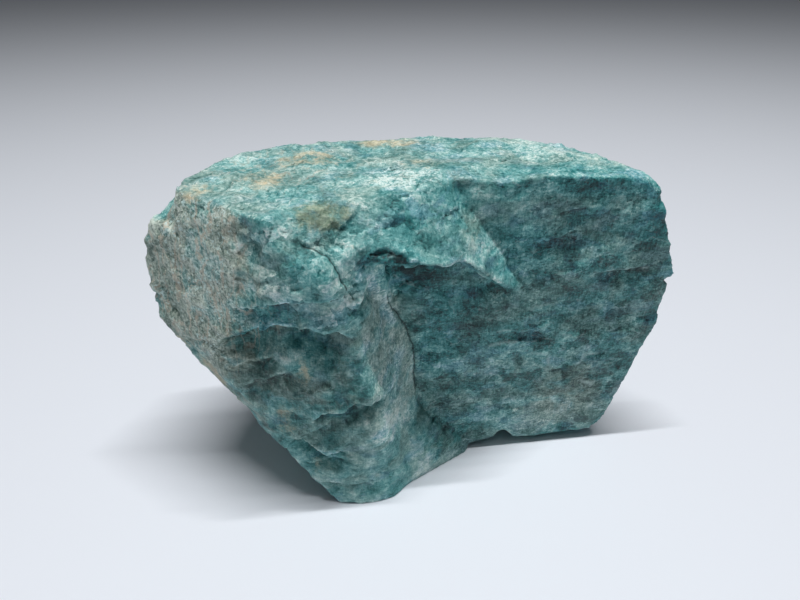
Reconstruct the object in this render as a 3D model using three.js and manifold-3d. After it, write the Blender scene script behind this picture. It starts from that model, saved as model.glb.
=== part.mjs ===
// A chunk of raw amazonite, the green-blue feldspar, as it was broken from the rock.
// Feldspar splits along flat cleavage planes, so the chunk is built as a handful of convex
// cleavage blocks that overlap, joined into one solid. Chips are then broken out of its edges,
// and the surface is warped a little so that no face stays perfectly flat.
//
// Units are millimetres and +Z is up. +X runs along the longest side, and -Y is the side with the
// deep recess. The chunk rests on z = 0, with the bottom centre of its box at the origin.

import * as THREE from 'three';
import { ConvexGeometry } from 'three/addons/geometries/ConvexGeometry.js';
import { SimplexNoise } from 'three/addons/math/SimplexNoise.js';
import { TessellateModifier } from 'three/addons/modifiers/TessellateModifier.js';
import { mergeVertices } from 'three/addons/utils/BufferGeometryUtils.js';
import Module from 'manifold-3d';

// Driving dimensions.
const TOP = 54.3;          // height of the top face
const TOP_SAG = 0.9;       // how much lower the top lies at its two ends
const PANEL_LEAN = 5;      // how far the right front panel leans out between foot and top
const PANEL_CLEARANCE = 2; // gap between the panel's lower edge and the ground
const CHEST_FRONT = -16;   // y of the left front face, below the brow
const BASE_INSET = 2.5;    // how far the resting face lies behind the panel's lower edge
const ROOTED = 0.6;        // how deep the other blocks are let into the panel where they meet it

// Surface.
const LONGEST_EDGE = 3.3;  // no triangle edge is longer
const SHORTEST_EDGE = 0.6; // shorter edges are closed up
const LUMP_SIZE = 15;      // wavelength and height of the broad swellings
const LUMP_HEIGHT = 0.5;
const GRAIN_SIZE = 5;      // wavelength and height of the coarse grain
const GRAIN_HEIGHT = 0.28;
const FLAT_BELOW = 0.5;    // the surface is not warped below this height
const ROUGH_ABOVE = 5;     // and is warped fully above this one

const wasm = await Module();
wasm.setup();

/** A corner point in millimetres. */
const at = (x, y, z) => new THREE.Vector3(x, y, z);

/** The y of the right front panel's plane at a given place: it leans out and turns a little. */
const panelY = (x, z) => 0.134 * (x - 12.8) - PANEL_LEAN * (z - 1.5) / 57;

/** A point on the right front panel, or a little way in front of it or behind it. */
const onPanel = (x, z, behind = 0) => at(x, panelY(x, z) + behind, z);

// The rim of the top face, clockwise from the front left corner as seen from above.
const rim = {
  frontLeft: at(-18.6, -19, TOP),
  leftFront: at(-23, -13.6, TOP),
  leftMiddle: at(-27.2, -11.2, TOP),
  left: at(-31.8, -8.4, TOP),
  leftBack: at(-32.6, -2.2, TOP),
  backLeft: at(-28.2, 5, TOP),
  backCorner: at(-22.4, 8.4, TOP),
  back: at(-13.2, 11.5, TOP),
  backMiddle: at(-0.4, 12.7, TOP),
  backRight: at(6.1, 13.8, TOP),
  rightBack: at(19, 13.1, TOP),
  rightBevel: at(21.6, 10.8, TOP),
  right: at(28.8, 4, TOP),
  rightTip: at(33.4, -2.4, TOP),
  frontRight: at(28.6, -4.2, TOP),
  frontPanel: at(10.1, -5.2, TOP),
  frontInner: at(4.4, -7.2, TOP),
  frontMiddle: at(0.2, -10.4, TOP),
  frontBrow: at(-6, -13, TOP),
  frontEdge: at(-14, -15.8, TOP),
};

/** The right half: the leaning front panel and the slab of rock behind it. */
function panelBlock() {
  return hull([
    onPanel(13.5, PANEL_CLEARANCE), onPanel(24, PANEL_CLEARANCE - 0.7),
    onPanel(33.8, PANEL_CLEARANCE),
    at(35.8, 3.6, 3.8), at(39, 2, 16.4), at(40.4, 0.3, 27.3), at(41, -1, 36.8),
    at(38.4, -2, 43.7), at(36.7, -2.6, 48.4), at(35.4, -3, 52.4),
    rim.frontRight, rim.frontPanel, rim.frontInner, rim.rightTip, rim.right, rim.rightBevel,
    rim.rightBack, rim.backRight, rim.backMiddle, rim.back,
    onPanel(-8, 44), onPanel(-6, 30), onPanel(-2, 12), onPanel(10.2, 1.5),
    at(39, 7.5, 33), at(37, 9.5, 15), at(23, 17.6, 38), at(24.5, 18.2, 14), at(-12, 18.2, 33),
    at(-9, 17.6, 12),
    at(11, 1.4 + BASE_INSET, 0), at(30, 3 + BASE_INSET, 0), at(31.5, 9, 0), at(20, 15.4, 0),
    at(-6, 14, 0),
  ]);
}

/** The left half behind the brow and the chest, undercut towards the ground. */
function leftBlock() {
  return hull([
    rim.left, rim.leftBack, rim.backLeft, rim.backCorner, rim.back, rim.leftMiddle,
    rim.leftFront, rim.frontBrow, rim.backMiddle,
    at(-36.2, -7.2, 48.4), at(-38.6, -6.2, 45), at(-39.8, -5.5, 41.1), at(-39.6, -5.6, 37.4),
    at(-38.9, -6.2, 32), at(-37.4, -7, 29.6), at(-33.7, -9, 25.8), at(-29.5, -10, 20.6),
    at(-24, -11.4, 15.2),
    at(-38.4, 3, 38), at(-31, 10, 46), at(-24, 15, 33), at(-12, 17.8, 36), at(-33.5, 4, 27),
    at(-19, 13, 9), at(-14.5, 8, 0), at(-6, 14, 0), at(-11, -6, 0), at(2, 2, 0),
  ]);
}

/** The upper left front: the bulging brow and the grainy left facet. */
function browBlock() {
  return hull([
    rim.frontLeft, rim.leftFront, rim.left, rim.frontEdge, rim.frontBrow,
    at(-3.5, -14.2, 51),
    at(-18.9, -19.4, 49.5), at(-19.6, -19.2, 46), at(-20.4, -18.7, 43.7), at(-22.2, -17.2, 40.4),
    at(-24.7, -16.4, 34.9), at(-28.2, -13.4, 32.4), at(-33, -9.9, 30.4),
    at(-34.6, -8.5, 50.3), at(-37.3, -6.7, 47.8), at(-38.9, -6, 44.9), at(-39.7, -5.5, 41.1),
    at(-39.4, -5.6, 37.6), at(-38.2, -6.4, 34.4), at(-37, -7.2, 31),
    at(-15.2, -20.2, 47.6), at(-11.6, -19.8, 45.6), at(-11, -19.2, 41.6),
    at(-9.6, -18, 44.2), at(-7.4, -17, 46.7),
    at(-20.5, -18, 36.7), at(-15.3, -18.4, 37.3), at(-9.4, -17.4, 36.4),
    at(-8, -5, 37), at(-30, -4, 34),
  ]);
}

/** The upper middle, which slopes back from its overhanging lip to the top. */
function shelfBlock() {
  return hull([
    rim.frontInner, rim.frontMiddle, rim.frontBrow,
    at(-7.6, -16.8, 46.4), at(-5.5, -16.2, 47.6), at(-2, -16.6, 47), at(1.1, -16, 45.4),
    at(4.2, -14.6, 44.9), at(5.8, -13, 45.4), at(3.8, -9.2, 51.2), at(8, -6.4, 49.6),
    at(-6, -3, 43), at(7, -3, 43), at(-6, 0, TOP), at(4.4, 0, TOP), at(7, -1, 49),
  ]);
}

/** The thin tongue of rock that trails down from the shelf across the panel. */
function tongueBlock() {
  return hull([
    at(5.2, -13, 45.6), at(8.1, -11, 42.9), at(10.6, -9.2, 40.5), at(13.5, -7, 37.6),
    onPanel(18, 34.4, -0.9), onPanel(14.9, 40.8, -0.5), onPanel(13.2, 43.4, -0.4),
    at(8, -6.4, 49.4),
    at(5, -3, 42), at(8, -2, 49), at(14, -1, 36),
  ]);
}

/** The left front face below the brow, with the smooth wall that drops into the recess. */
function chestBlock() {
  return hull([
    at(-24.6, CHEST_FRONT + 1.2, 37), at(-9.2, CHEST_FRONT - 0.2, 42),
    at(-7.6, CHEST_FRONT, 33.5), at(-6.1, CHEST_FRONT, 23.4),
    at(-12.8, CHEST_FRONT - 0.9, 29), at(-12.2, CHEST_FRONT - 0.9, 24),
    at(-10.1, CHEST_FRONT - 0.5, 22), at(-14, CHEST_FRONT - 0.2, 20.2),
    at(-17.5, CHEST_FRONT + 1, 15.4), at(-20.2, CHEST_FRONT + 2.5, 12.2),
    at(-30.1, -12, 30), at(-28, -13, 26.6), at(-24.5, -13.8, 21),
    at(-34, -8.9, 28.5), at(-31.6, -9.5, 23.3), at(-27.3, -10.5, 18.9), at(-21.5, -12, 11.1),
    onPanel(-5, 38, ROOTED), onPanel(-3.6, 35, ROOTED), onPanel(-0.8, 27.5, ROOTED),
    onPanel(0.4, 18.5, ROOTED), at(-8, 0, 18), at(-5, 0, 38), at(0.4, 0, 18.5),
    at(-28, 0, 26), at(-12, 0, 10),
  ]);
}

/** The foot that the left side stands on. */
function footBlock() {
  return hull([
    at(-12.2, -13.9, 0), at(-8.4, -14.1, 0), at(-5.4, -13.6, 0), at(-2.8, -12.5, 0),
    at(-0.4, -9.6, 0), at(-13.6, -13.8, 3), at(-17.2, -13.2, 7.6), at(-20.6, -12.3, 10.6),
    at(-17, -13.8, 17), at(-13, -14.6, 21), at(-5.8, -14.4, 22.5),
    at(-3.8, -9, 23), onPanel(-0.6, 20, ROOTED), onPanel(0.8, 13.2, ROOTED),
    onPanel(2.2, 10, ROOTED), at(-12, 4, 0), at(3, 3, 0), at(-10, 0, 20),
  ]);
}

/** A shallow step on the front of the foot. */
function footStep() {
  return hull([
    at(-18.8, -14.1, 15), at(-14, -15.2, 12.4), at(-10.8, -15.2, 12.9), at(-9, -14.2, 18),
    at(-15, -14, 20), at(-17, -12, 13), at(-9, -12, 13), at(-9, -12, 20),
  ]);
}

/** The low spur that runs from the foot to the right, under the edge of the panel. */
function spurBlock() {
  return hull([
    at(-0.4, -9.6, 0), at(5.2, -4.8, 0), at(8.1, -3, 0), at(10.2, -1.6, 0), at(10.6, -0.5, 1.2),
    onPanel(5.8, 6, ROOTED), onPanel(2.4, 10.4, ROOTED), onPanel(0.6, 14, ROOTED),
    at(-2.6, -9, 12),
    at(12, 4, 0), at(0, 4, 0), at(0, 2, 10),
  ]);
}

/** A thin raised plate on the panel, between two x values and two heights. */
function plateOnPanel(left, right, low, high, rise) {
  const proud = (x, z) => onPanel(x, z, -rise);
  const sunk = (x, z) => onPanel(x, z, 2);
  return hull([
    proud(left + 1, low + 0.4), proud(right - 0.3, low), proud(right - 0.3, high),
    proud(left + 1.6, high - 1), sunk(left - 1, low - 1.4), sunk(right + 1, low - 1.4),
    sunk(right + 1, high + 1), sunk(left - 1, high),
  ]);
}

/** The notch chipped out of the right edge. */
function edgeNotch() {
  return hull([
    at(38.9, -1.4, 35.3), at(43, -3, 36), at(43, -3, 34.2), at(42, 6, 36.2), at(42, 6, 34),
    at(38.2, 4, 35.1),
  ]);
}

/** The small arch under the panel's lower edge. */
function footArch() {
  const arch = new THREE.CylinderGeometry(2.2, 1.6, 9, 10);
  arch.translate(17.2, 0, 1.9);
  return solid(arch);
}

/** A chip broken out of the left edge of the left facet. */
function leftNotch() {
  return hull([
    at(-38.2, -6, 36), at(-42, -4, 38.8), at(-42, -4, 34.6), at(-37.6, -12, 36),
    at(-38.6, 1, 36.2),
  ]);
}

/** A ledge split off the back, along the same cleavage as the panel. */
function backLedge() {
  return hull([
    at(2, 15.4, 27), at(45, 13.5, 24), at(45, 30, 24), at(2, 30, 27),
    at(-1, 14.2, 60), at(45, 11, 60), at(45, 30, 60), at(-1, 30, 60),
  ]);
}

/** A corner block split off the right side, behind the panel. */
function rightLedge() {
  return hull([
    at(32.5, 6.8, 22), at(45, 5.2, 20), at(45, 25, 20), at(31, 25, 24),
    at(31.5, 5.6, 60), at(45, 4, 60), at(45, 25, 60), at(30, 25, 60),
  ]);
}

/** A slab flaked off the left side, which leaves a sloping ledge across the undercut. */
function leftFlake() {
  return hull([
    at(-27.8, 1, 22.5), at(-21, 12.5, 20), at(-21, 25, 20), at(-45, 1, 24), at(-45, 25, 22),
    at(-29, -6, 19), at(-20.5, 1, 8), at(-16.5, 13, 7), at(-16.5, 25, 7), at(-45, 1, 4),
    at(-45, 25, 4),
  ]);
}

/** A convex solid around the given corners. */
function hull(corners) {
  return solid(new ConvexGeometry(corners));
}

/** A manifold solid from a closed geometry. */
function solid(geometry) {
  geometry.deleteAttribute('normal');
  geometry.deleteAttribute('uv');
  const merged = mergeVertices(geometry, 1e-4);
  return new wasm.Manifold(new wasm.Mesh({
    numProp: 3,
    vertProperties: new Float32Array(merged.attributes.position.array),
    triVerts: new Uint32Array(merged.index.array),
  }));
}

/** The geometry of a manifold solid. */
function geometryOf(body) {
  const mesh = body.getMesh();
  const geometry = new THREE.BufferGeometry();
  geometry.setAttribute('position', new THREE.Float32BufferAttribute(mesh.vertProperties, 3));
  geometry.setIndex(Array.from(mesh.triVerts));
  return geometry;
}

/** The triangles of an indexed geometry, as arrays of three vertex numbers. */
function trianglesOf(geometry) {
  const corners = Array.from(geometry.index.array);
  return Array.from({ length: corners.length / 3 }, (_, i) => corners.slice(3 * i, 3 * i + 3));
}

/** Closes up every edge shorter than the given length, wherever that leaves the surface sound. */
function closeShortEdges(geometry, shortest) {
  const position = geometry.attributes.position;
  const place = Array.from({ length: position.count }, (_, i) => (
    at(0, 0, 0).fromBufferAttribute(position, i)));
  const triangles = new Set(trianglesOf(geometry));
  const around = place.map(() => new Set());
  triangles.forEach((triangle) => triangle.forEach((vertex) => around[vertex].add(triangle)));

  const neighbours = (vertex) => {
    const ring = new Set([...around[vertex]].flat());
    ring.delete(vertex);
    return ring;
  };
  const facing = (triangle) => {
    const [a, b, c] = triangle.map((vertex) => place[vertex]);
    return b.clone().sub(a).cross(c.clone().sub(a));
  };
  const moved = (triangle, from, to) => triangle.map((vertex) => (vertex === from ? to : vertex));

  /** Whether vertex `from` can be merged into `to` with no pinch and no triangle turned over. */
  const canMerge = (from, to) => {
    const ring = neighbours(to);
    const shared = [...neighbours(from)].filter((vertex) => ring.has(vertex));
    const kept = [...around[from]].filter((triangle) => !triangle.includes(to));
    return shared.length === 2 && kept.every((triangle) => {
      const before = facing(triangle);
      const after = facing(moved(triangle, from, to));
      return before.dot(after) > 0.5 * before.length() * after.length();
    });
  };

  const merge = (from, to) => {
    [...around[from]].forEach((triangle) => {
      triangle.forEach((vertex) => around[vertex].delete(triangle));
      triangles.delete(triangle);
      if (triangle.includes(to)) return;
      const redrawn = moved(triangle, from, to);
      triangles.add(redrawn);
      redrawn.forEach((vertex) => around[vertex].add(redrawn));
    });
  };

  for (let from = 0; from < place.length; from += 1) {
    const near = [...neighbours(from)]
      .filter((to) => place[from].distanceTo(place[to]) < shortest && canMerge(from, to));
    if (near.length > 0) merge(from, near[0]);
  }
  geometry.setIndex([...triangles].flat());
  return mergeVertices(geometry.toNonIndexed(), 1e-4);
}

/** A repeatable source of random numbers between 0 and 1. */
function seededRandom(seed) {
  let state = seed;
  return () => {
    state = (state * 1664525 + 1013904223) % 4294967296;
    return state / 4294967296;
  };
}

/** Three independent noise fields, one for each direction of the warp. */
const fields = [11, 23, 47].map((seed) => new SimplexNoise({ random: seededRandom(seed) }));

/** How far the warp moves a point at one wavelength and height. */
function swell(point, wavelength, height) {
  const shift = fields.map((field) => (
    height * field.noise3d(point.x / wavelength, point.y / wavelength, point.z / wavelength)));
  return at(...shift);
}

/** How far the top sags at a point: most at the two ends, and nothing halfway down the chunk. */
function sag(point) {
  const alongTop = (point.x - 6) / 38;
  return TOP_SAG * alongTop * alongTop * THREE.MathUtils.smoothstep(point.z, 40, TOP);
}

/** Warps every vertex by smooth noise, and leaves the resting face flat. */
function roughen(geometry) {
  const position = geometry.attributes.position;
  const point = at(0, 0, 0);
  for (let i = 0; i < position.count; i += 1) {
    point.fromBufferAttribute(position, i);
    const strength = THREE.MathUtils.smoothstep(point.z, FLAT_BELOW, ROUGH_ABOVE);
    const shift = swell(point, LUMP_SIZE, LUMP_HEIGHT).add(swell(point, GRAIN_SIZE, GRAIN_HEIGHT));
    const drop = sag(point);
    point.addScaledVector(shift, strength);
    position.setXYZ(i, point.x, point.y, point.z - drop);
  }
  return geometry;
}

/** Moves a geometry so that the bottom centre of its box is the origin. */
function standOnOrigin(geometry) {
  geometry.computeBoundingBox();
  const { min, max } = geometry.boundingBox;
  geometry.translate(-(min.x + max.x) / 2, -(min.y + max.y) / 2, -min.z);
  return geometry;
}

const blocks = [
  leftBlock(), browBlock(), shelfBlock(), tongueBlock(), chestBlock(), footBlock(), footStep(),
  spurBlock(), plateOnPanel(13.5, 25, 20, 24.2, 0.7),
];
const chips = [edgeNotch(), footArch(), leftNotch(), backLedge(), rightLedge(), leftFlake()];

const joined = blocks.reduce((body, block) => body.add(block), panelBlock());
const chipped = chips.reduce((body, chip) => body.subtract(chip), joined);

const tessellate = new TessellateModifier(LONGEST_EDGE, 12);
const coarse = closeShortEdges(geometryOf(chipped), SHORTEST_EDGE);
const fine = closeShortEdges(mergeVertices(tessellate.modify(coarse), 1e-4), SHORTEST_EDGE);
const surface = standOnOrigin(roughen(fine));
surface.computeVertexNormals();

const amazonite = new THREE.Mesh(surface, new THREE.MeshStandardMaterial({
  color: 0x4f9a94, roughness: 0.62, metalness: 0,
}));
amazonite.name = 'amazonite';

const chunk = new THREE.Group();
chunk.add(amazonite);

export default chunk;
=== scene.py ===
"""A raw chunk of amazonite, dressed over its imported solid.

The chunk is one piece of blue-green feldspar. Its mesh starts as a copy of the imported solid, which is
rebuilt as an even fine mesh and then weathered: flat cleavage faces are cut, ledges sink below their
edges, cracks open, and the broken faces get their blocks, ridges and grain. What each place of the
surface is like, from its tone to its rust, is kept in named attributes that the stone's finish reads.

Blender's side is in metres. Places and sizes on the chunk are written in millimetres, in the frame's
own axes: +Z up, +X along the longest side and -Y towards the front.
"""

import logging
import math
from abc import ABC, abstractmethod
from collections.abc import Iterator
from dataclasses import dataclass, field
from enum import Enum, IntEnum
from itertools import product

import bmesh
import bpy
import numpy as np
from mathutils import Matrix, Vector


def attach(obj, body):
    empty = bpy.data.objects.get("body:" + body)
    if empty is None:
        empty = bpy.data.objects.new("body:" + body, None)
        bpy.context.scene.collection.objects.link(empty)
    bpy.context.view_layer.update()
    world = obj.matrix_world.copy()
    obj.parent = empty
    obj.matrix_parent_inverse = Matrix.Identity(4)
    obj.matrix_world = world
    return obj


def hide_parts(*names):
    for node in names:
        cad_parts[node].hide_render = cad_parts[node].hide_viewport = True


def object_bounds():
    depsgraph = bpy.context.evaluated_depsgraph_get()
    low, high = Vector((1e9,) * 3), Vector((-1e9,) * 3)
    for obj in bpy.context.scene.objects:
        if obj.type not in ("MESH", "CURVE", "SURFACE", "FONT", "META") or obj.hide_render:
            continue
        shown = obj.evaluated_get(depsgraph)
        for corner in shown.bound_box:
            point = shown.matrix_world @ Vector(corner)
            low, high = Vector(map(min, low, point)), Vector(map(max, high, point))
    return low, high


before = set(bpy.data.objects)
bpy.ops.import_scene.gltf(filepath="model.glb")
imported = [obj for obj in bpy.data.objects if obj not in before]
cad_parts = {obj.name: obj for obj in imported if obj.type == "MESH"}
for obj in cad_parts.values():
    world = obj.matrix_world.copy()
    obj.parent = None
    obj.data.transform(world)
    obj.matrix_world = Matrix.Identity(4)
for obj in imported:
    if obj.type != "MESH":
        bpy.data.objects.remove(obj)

CAD_BOX = [list(corner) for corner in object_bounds()]

MM = 0.001
NODE = "amazonite"

Place = tuple[float, float, float]
Colour = tuple[float, float, float, float]
Ramp = tuple[tuple[float, Colour], ...]
Reading = tuple[np.ndarray, np.ndarray, np.ndarray]
Socket = bpy.types.NodeSocket

# In millimetres: how high above the floor the relief reaches its full depth, and how far the
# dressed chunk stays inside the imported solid's box.
CALM_FOOT = 2.5
BOX_GAP = 0.01

log = logging.getLogger("amazonite")


def smoothstep(low: float, high: float, value: np.ndarray) -> np.ndarray:
    """Rise smoothly from 0 to 1.

    Args:
        low: Value at which the rise starts.
        high: Value at which it ends.
        value: Values to look up.

    Returns:
        The rise at each value.
    """
    share = np.clip((value - low) / (high - low), 0.0, 1.0)
    return share * share * (3.0 - 2.0 * share)


def unit(vector: Place) -> np.ndarray:
    """The vector at length 1."""
    array = np.array(vector, dtype=float)
    return array / np.linalg.norm(array)


def placed(name: str, data: bpy.types.ID) -> bpy.types.Object:
    """Put a new object into the scene.

    Args:
        name: The object's name.
        data: Its mesh, light or camera.

    Returns:
        The object.
    """
    new = bpy.data.objects.new(name, data)
    bpy.context.scene.collection.objects.link(new)
    return new


class Seed(IntEnum):
    """Which random values each part of the relief draws."""

    LEDGE = 5
    CRACK = 9
    SWELLING = 13
    LUMPS = 21
    FACETS = 31
    SMALL_FACETS = 33
    STEPS = 35
    SMALL_STEPS = 37
    PATCHES = 39
    GRAIN = 41
    FINE = 43
    SWIRL = 61


@dataclass(frozen=True)
class LatticeNoise:
    """Repeatable noise: random values at whole-number places, blended between them.

    The scatter is how far a cell's seed may lie from the middle of its cell.
    """

    seed: int
    primes: tuple[int, ...] = (73856093, 19349663, 83492791, 2654435761, 2246822519, 3266489917)
    scatter: float = 0.42

    def cell(self, cells: np.ndarray) -> np.ndarray:
        """Look up the random value of each cell.

        Args:
            cells: Whole-number places, one row each.

        Returns:
            One value from -1 to 1 for each row.
        """
        across, back, up = (column * prime for column, prime in zip(cells.astype(np.int64).T,
                                                                    self.primes))
        mixed = (across ^ back ^ up ^ self.seed * self.primes[3]) & 0xFFFFFFFF
        mixed = (mixed ^ mixed >> 15) * self.primes[4] & 0xFFFFFFFF
        mixed = (mixed ^ mixed >> 13) * self.primes[5] & 0xFFFFFFFF
        return ((mixed ^ mixed >> 16) & 0xFFFF) / 32767.5 - 1.0

    def triple(self, cells: np.ndarray, offset: int = 0) -> np.ndarray:
        """Three random values for each cell, one for each axis."""
        noises = (LatticeNoise(self.seed + offset + 7 * axis) for axis in range(3))
        return np.stack([noise.cell(cells) for noise in noises], axis=1)

    def smooth(self, points: np.ndarray) -> np.ndarray:
        """Blend the cells' values smoothly.

        Args:
            points: Places, in wavelengths.

        Returns:
            One value from -1 to 1 for each place.
        """
        base = np.floor(points)
        part = points - base
        fade = part * part * (3.0 - 2.0 * part)
        total = np.zeros(len(points))
        for corner in product((0, 1), repeat=3):
            weight = np.prod(np.where(np.array(corner) == 1, fade, 1.0 - fade), axis=1)
            total += weight * self.cell(base + corner)
        return total

    def fractal(self, points: np.ndarray, octaves: int, gain: float = 0.5) -> np.ndarray:
        """Add up noise at halved wavelengths.

        Args:
            points: Places, in wavelengths of the coarsest octave.
            octaves: How many wavelengths are added.
            gain: Height of each octave as a share of the one before.

        Returns:
            One value of about -1 to 1 for each place.
        """
        total = np.zeros(len(points))
        height = 1.0
        for octave in range(octaves):
            layer = LatticeNoise(self.seed + 101 * octave)
            total += height * layer.smooth(points * 2.0 ** octave)
            height *= gain
        return total

    def scattered(self, points: np.ndarray) -> Iterator[Reading]:
        """Visit the scattered seeds around each place, one in each cell next to it.

        Args:
            points: Places, in cell widths.

        Yields:
            The seeds' cells, the way from each seed to its place, and how long that way is.
        """
        base = np.floor(points)
        for corner in product((-1, 0, 1), repeat=3):
            cells = base + corner
            offset = points - (cells + 0.5 + self.scatter * self.triple(cells))
            yield cells, offset, np.linalg.norm(offset, axis=1)

    def facets(self, points: np.ndarray) -> np.ndarray:
        """Break space into tilted flat faces, one around each scattered seed.

        Args:
            points: Places, in face widths.

        Returns:
            The height of the face at each place, about -1 to 1.
        """
        nearest = np.full(len(points), np.inf)
        height = np.zeros(len(points))
        for cells, offset, away in self.scattered(points):
            slope = self.triple(cells, offset=50)
            face = 0.45 * self.cell(cells) + np.sum(offset * slope, axis=1)
            height = np.where(away < nearest, face, height)
            nearest = np.minimum(nearest, away)
        return height

    def grains(self, points: np.ndarray) -> tuple[np.ndarray, np.ndarray]:
        """Pack grains around one scattered seed in each cell.

        Args:
            points: Places, in grain widths.

        Returns:
            The distance to the nearest seed, and how much further off the next seed is.
        """
        nearest = np.full(len(points), np.inf)
        second = np.full(len(points), np.inf)
        for _, _, away in self.scattered(points):
            second = np.minimum(second, np.maximum(away, nearest))
            nearest = np.minimum(nearest, away)
        return nearest, second - nearest


@dataclass
class Surface:
    """The chunk's vertices while they are worked, in millimetres."""

    points: np.ndarray
    normals: np.ndarray
    edges: np.ndarray

    def average(self, values: np.ndarray, rounds: int) -> np.ndarray:
        """Spread values over neighbouring vertices.

        Args:
            values: One row for each vertex.
            rounds: How many times each vertex takes the mean of its neighbours.

        Returns:
            The spread values.
        """
        count = len(self.points)
        ends = np.concatenate([self.edges, self.edges[:, ::-1]])
        degree = np.bincount(ends[:, 0], minlength=count).astype(float)
        spread = values.reshape(count, -1).astype(float)
        for _ in range(rounds):
            columns = [
                np.bincount(ends[:, 0], weights=spread[ends[:, 1], column], minlength=count)
                for column in range(spread.shape[1])
            ]
            mean = np.stack(columns, axis=1) / degree[:, None]
            spread = 0.5 * (spread + mean)
        return spread.reshape(values.shape)

    def swelling(self, rounds: int) -> np.ndarray:
        """How far each vertex stands out from its neighbourhood.

        Args:
            rounds: How wide the neighbourhood is.

        Returns:
            Millimetres, more than 0 on ridges and less than 0 in hollows.
        """
        return np.sum((self.points - self.average(self.points, rounds)) * self.normals, axis=1)


@dataclass(frozen=True)
class Line:
    """A line that runs over the surface, left to right as seen from outside.

    Its small bends are about as long as the bend says, in millimetres.
    """

    places: tuple[Place, ...]
    bend: float = 1.3

    def measure(self, surface: Surface, reach: float) -> Reading:
        """Measure how far the vertices near the line lie from it.

        Args:
            surface: The surface that the line runs over.
            reach: How far off the line a vertex is still measured.

        Returns:
            The numbers of the vertices in reach, the distance of each, which is more than 0 on the
            upper side, and how far it lies from the line's nearer end along the line.
        """
        route = np.array(self.places)
        low, high = route.min(axis=0) - reach, route.max(axis=0) + reach
        inside = np.all((surface.points > low) & (surface.points < high), axis=1)
        chosen = np.nonzero(inside)[0]
        points, normals = surface.points[chosen], surface.normals[chosen]
        lengths = np.linalg.norm(np.diff(route, axis=0), axis=1)
        starts = np.concatenate([[0.0], np.cumsum(lengths)])
        best = np.full(len(chosen), np.inf)
        signed = np.zeros(len(chosen))
        from_end = np.zeros(len(chosen))
        for start, end, length, run in zip(route, route[1:], lengths, starts):
            along = (end - start) / length
            share = (points - start) @ along
            nearest = start + np.clip(share, 0.0, length)[:, None] * along
            offset = points - nearest
            offset = offset - np.sum(offset * normals, axis=1)[:, None] * normals
            away = np.linalg.norm(offset, axis=1)
            side = np.sign(np.sum(offset * np.cross(normals, along), axis=1))
            closer = away < best
            best = np.where(closer, away, best)
            signed = np.where(closer, away * side, signed)
            gone = run + share
            from_end = np.where(closer, np.minimum(gone, starts[-1] - gone), from_end)
        keep = best < reach
        return chosen[keep], signed[keep], from_end[keep]

    def wobbled(self, surface: Surface, reach: float, sway: float) -> Reading:
        """Measure as measure does, with the line swaying from side to side.

        Args:
            surface: The surface that the line runs over.
            reach: How far off the line a vertex is still measured.
            sway: How far the line sways, in millimetres.

        Returns:
            The vertices' numbers, their distances and how far they lie from the nearer end.
        """
        chosen, signed, from_end = self.measure(surface, reach)
        bends = LatticeNoise(Seed.CRACK).fractal(surface.points[chosen] / self.bend, 2)
        return chosen, signed + sway * bends, from_end


@dataclass(frozen=True)
class Work(Line, ABC):
    """Something that breaks the surface along its line."""

    @abstractmethod
    def shape(self, surface: Surface) -> None:
        """Work the surface.

        Args:
            surface: The surface, which is changed.
        """


@dataclass(frozen=True)
class Cut(Work):
    """A flat cleavage face: what stands out past its plane is sliced off, as far as it reaches.

    The plane lies sunk below the cut's place.
    """

    facing: Place = (0.0, -1.0, 0.0)
    reach: float = 3.0
    sunk: float = 0.0

    def shape(self, surface: Surface) -> None:
        """Slice the surface flat around the cut's first place.

        Args:
            surface: The surface to slice.
        """
        at = np.array(self.places[0])
        normal = unit(self.facing)
        offset = surface.points - at
        height = offset @ normal + self.sunk
        sideways = np.linalg.norm(offset - (offset @ normal)[:, None] * normal, axis=1)
        near = (1.0 - smoothstep(self.reach * 0.8, self.reach, sideways)) * (np.abs(height) < 3.0)
        surface.points -= (near * np.maximum(height, 0.0))[:, None] * normal


@dataclass(frozen=True)
class Ledge(Work):
    """A broken edge: the surface below it sinks by the drop and comes back up over the spread.

    The crisp width is that of the step itself. The lip swells above the edge, the edge wanders off
    its line in ragged notches, and below the edge the stone is painted darker by the given share, as
    painted shade under the edge; a share less than 0 paints it lighter.
    """

    drop: float = 0.6
    spread: float = 4.0
    crisp: float = 0.25
    wander: float = 0.35
    notch: float = 1.6
    lip: float = 0.0
    painted_shade: float = 0.2

    def below(self, surface: Surface) -> Reading:
        """Measure how far down the surface lies from the ragged edge.

        Args:
            surface: The surface that the edge runs over.

        Returns:
            The vertices' numbers, how far below the edge they are and how far from its nearer end.
        """
        chosen, signed, from_end = self.measure(surface, self.spread)
        ragged = LatticeNoise(Seed.LEDGE).fractal(surface.points[chosen] / self.notch, 3, 0.6)
        return chosen, -signed + self.wander * ragged, from_end

    def shape(self, surface: Surface) -> None:
        """Sink the surface below the edge, and raise its lip above.

        Args:
            surface: The surface to sink.
        """
        chosen, below, from_end = self.below(surface)
        step = smoothstep(-self.crisp, self.crisp, below)
        back = 1.0 - smoothstep(0.25 * self.spread, self.spread, below)
        above = 1.0 - smoothstep(0.0, 0.6 * self.spread, -below)
        fade = smoothstep(-1.0, 3.0, from_end)
        height = (self.lip * above * (1.0 - step) - self.drop * step * back) * fade
        surface.points[chosen] += height[:, None] * surface.normals[chosen]

    def shade(self, surface: Surface) -> np.ndarray:
        """Work out the painted shade below the edge: how much darker the stone is painted there.

        Args:
            surface: The surface that the edge runs over.

        Returns:
            A share to take off each vertex's tone.
        """
        chosen, below, from_end = self.below(surface)
        band = smoothstep(-0.2, 0.4, below) * (1.0 - smoothstep(0.0, 0.9 * self.spread, below))
        dark = np.zeros(len(surface.points))
        dark[chosen] = self.painted_shade * band * smoothstep(-1.0, 2.5, from_end)
        return dark


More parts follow.
